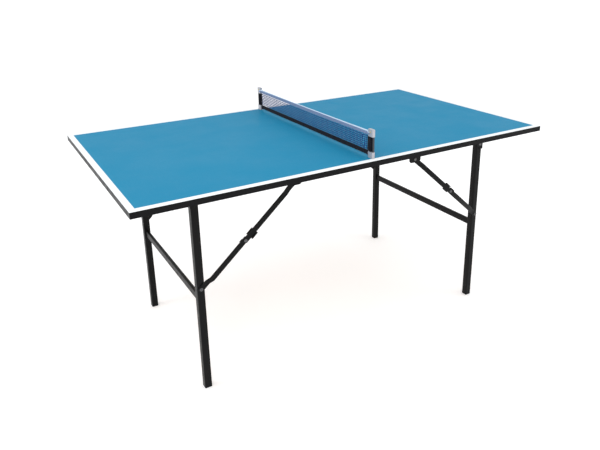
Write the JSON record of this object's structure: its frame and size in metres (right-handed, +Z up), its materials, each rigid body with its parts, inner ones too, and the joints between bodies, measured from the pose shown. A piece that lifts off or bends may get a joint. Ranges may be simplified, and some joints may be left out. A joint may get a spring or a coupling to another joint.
{
  "type": "table tennis table",
  "caption": "Mid-size blue table tennis table with white border lines, black folding leg frames on folding stays, and a lift-off net on silver posts.",
  "frame": {"origin": "on the floor under the middle of the net", "axes": "+X along the table's length, +Y along the net from the front side line to the rear one, +Z up"},
  "size_m": [1.37, 0.76, 0.714],
  "materials": {
    "board": "bare fibreboard underside and core",
    "blue_face": "satin blue playing paint",
    "white_line": "satin white line paint",
    "edge_band": "satin black edge banding",
    "black_steel": "satin black powder coat",
    "stay_steel": "black finished steel strip",
    "foot_plastic": "moulded black plastic",
    "rivet_steel": "dark plated rivet",
    "post_metal": "silver grey paint",
    "net_tape_dark": "woven dark tape",
    "net_mesh": "knitted navy net",
    "net_tape_light": "woven pale tape"
  },
  "bodies": {
    "table_top": {"top_board": "board", "playing_surface": "blue_face", "border_line_front": "white_line", "border_line_rear": "white_line", "border_line_left": "white_line", "border_line_right": "white_line", "edge_band_front": "edge_band", "edge_band_rear": "edge_band", "edge_band_left": "edge_band", "edge_band_right": "edge_band", "leg_bracket_left_front": "black_steel", "leg_rivet_left_front": "rivet_steel", "stay_bracket_left_front": "black_steel", "stay_upper_rivet_left_front": "rivet_steel", "leg_bracket_left_rear": "black_steel", "leg_rivet_left_rear": "rivet_steel", "stay_bracket_left_rear": "black_steel", "stay_upper_rivet_left_rear": "rivet_steel", "leg_bracket_right_front": "black_steel", "leg_rivet_right_front": "rivet_steel", "stay_bracket_right_front": "black_steel", "stay_upper_rivet_right_front": "rivet_steel", "leg_bracket_right_rear": "black_steel", "leg_rivet_right_rear": "rivet_steel", "stay_bracket_right_rear": "black_steel", "stay_upper_rivet_right_rear": "rivet_steel"},
    "leg_frame_left": {"leg_left_front": "black_steel", "foot_cap_left_front": "foot_plastic", "leg_left_rear": "black_steel", "foot_cap_left_rear": "foot_plastic", "crossbar_left": "black_steel"},
    "leg_frame_right": {"leg_right_front": "black_steel", "foot_cap_right_front": "foot_plastic", "leg_right_rear": "black_steel", "foot_cap_right_rear": "foot_plastic", "crossbar_right": "black_steel"},
    "stay_upper_left_front": {"stay_upper_bar_left_front": "stay_steel", "stay_middle_rivet_left_front": "rivet_steel"},
    "stay_lower_left_front": {"stay_lower_bar_left_front": "stay_steel", "stay_lower_rivet_left_front": "rivet_steel"},
    "stay_upper_left_rear": {"stay_upper_bar_left_rear": "stay_steel", "stay_middle_rivet_left_rear": "rivet_steel"},
    "stay_lower_left_rear": {"stay_lower_bar_left_rear": "stay_steel", "stay_lower_rivet_left_rear": "rivet_steel"},
    "stay_upper_right_front": {"stay_upper_bar_right_front": "stay_steel", "stay_middle_rivet_right_front": "rivet_steel"},
    "stay_lower_right_front": {"stay_lower_bar_right_front": "stay_steel", "stay_lower_rivet_right_front": "rivet_steel"},
    "stay_upper_right_rear": {"stay_upper_bar_right_rear": "stay_steel", "stay_middle_rivet_right_rear": "rivet_steel"},
    "stay_lower_right_rear": {"stay_lower_bar_right_rear": "stay_steel", "stay_lower_rivet_right_rear": "rivet_steel"},
    "net_set": {"net_post_front": "post_metal", "net_post_rear": "post_metal", "net_sleeve_front": "net_tape_dark", "net_sleeve_rear": "net_tape_dark", "net_bottom_tape": "net_tape_dark", "net_mesh": "net_mesh", "net_top_tape": "net_tape_light"}
  },
  "joints": [
    {"name": "leg_fold_left", "type": "hinge", "parent": "table_top", "child": "leg_frame_left", "pos_m": [-0.496, 0, 0.575], "axis": [0, -1, 0], "range_deg": [0, 90]},
    {"name": "stay_upper_pivot_left_front", "type": "hinge", "parent": "table_top", "child": "stay_upper_left_front", "pos_m": [-0.206, -0.2717, 0.575], "axis": [0, -1, 0], "range_deg": [-41.4, 0]},
    {"name": "stay_middle_pivot_left_front", "type": "hinge", "parent": "stay_upper_left_front", "child": "stay_lower_left_front", "pos_m": [-0.36414, -0.2717, 0.43594], "axis": [0, -1, 0], "range_deg": [0, 180]},
    {"name": "stay_upper_pivot_left_rear", "type": "hinge", "parent": "table_top", "child": "stay_upper_left_rear", "pos_m": [-0.206, 0.2717, 0.575], "axis": [0, -1, 0], "range_deg": [-41.4, 0]},
    {"name": "stay_middle_pivot_left_rear", "type": "hinge", "parent": "stay_upper_left_rear", "child": "stay_lower_left_rear", "pos_m": [-0.36414, 0.2717, 0.43594], "axis": [0, -1, 0], "range_deg": [0, 180]},
    {"name": "leg_fold_right", "type": "hinge", "parent": "table_top", "child": "leg_frame_right", "pos_m": [0.496, 0, 0.575], "axis": [0, 1, 0], "range_deg": [0, 90]},
    {"name": "stay_upper_pivot_right_front", "type": "hinge", "parent": "table_top", "child": "stay_upper_right_front", "pos_m": [0.206, -0.2977, 0.575], "axis": [0, 1, 0], "range_deg": [-41.4, 0]},
    {"name": "stay_middle_pivot_right_front", "type": "hinge", "parent": "stay_upper_right_front", "child": "stay_lower_right_front", "pos_m": [0.36414, -0.2977, 0.43594], "axis": [0, 1, 0], "range_deg": [0, 180]},
    {"name": "stay_upper_pivot_right_rear", "type": "hinge", "parent": "table_top", "child": "stay_upper_right_rear", "pos_m": [0.206, 0.2977, 0.575], "axis": [0, 1, 0], "range_deg": [-41.4, 0]},
    {"name": "stay_middle_pivot_right_rear", "type": "hinge", "parent": "stay_upper_right_rear", "child": "stay_lower_right_rear", "pos_m": [0.36414, 0.2977, 0.43594], "axis": [0, 1, 0], "range_deg": [0, 180]},
    {"name": "net_lift", "type": "slide", "parent": "table_top", "child": "net_set", "axis": [0, 0, 1], "range_m": [0, 0.03]}
  ],
  "couplings": [
    {"joint": "stay_upper_pivot_left_front", "follows": "leg_fold_left", "ratio": -0.45917},
    {"joint": "stay_middle_pivot_left_front", "follows": "leg_fold_left", "ratio": 2},
    {"joint": "stay_upper_pivot_left_rear", "follows": "leg_fold_left", "ratio": -0.45917},
    {"joint": "stay_middle_pivot_left_rear", "follows": "leg_fold_left", "ratio": 2},
    {"joint": "stay_upper_pivot_right_front", "follows": "leg_fold_right", "ratio": -0.45917},
    {"joint": "stay_middle_pivot_right_front", "follows": "leg_fold_right", "ratio": 2},
    {"joint": "stay_upper_pivot_right_rear", "follows": "leg_fold_right", "ratio": -0.45917},
    {"joint": "stay_middle_pivot_right_rear", "follows": "leg_fold_right", "ratio": 2}
  ]
}
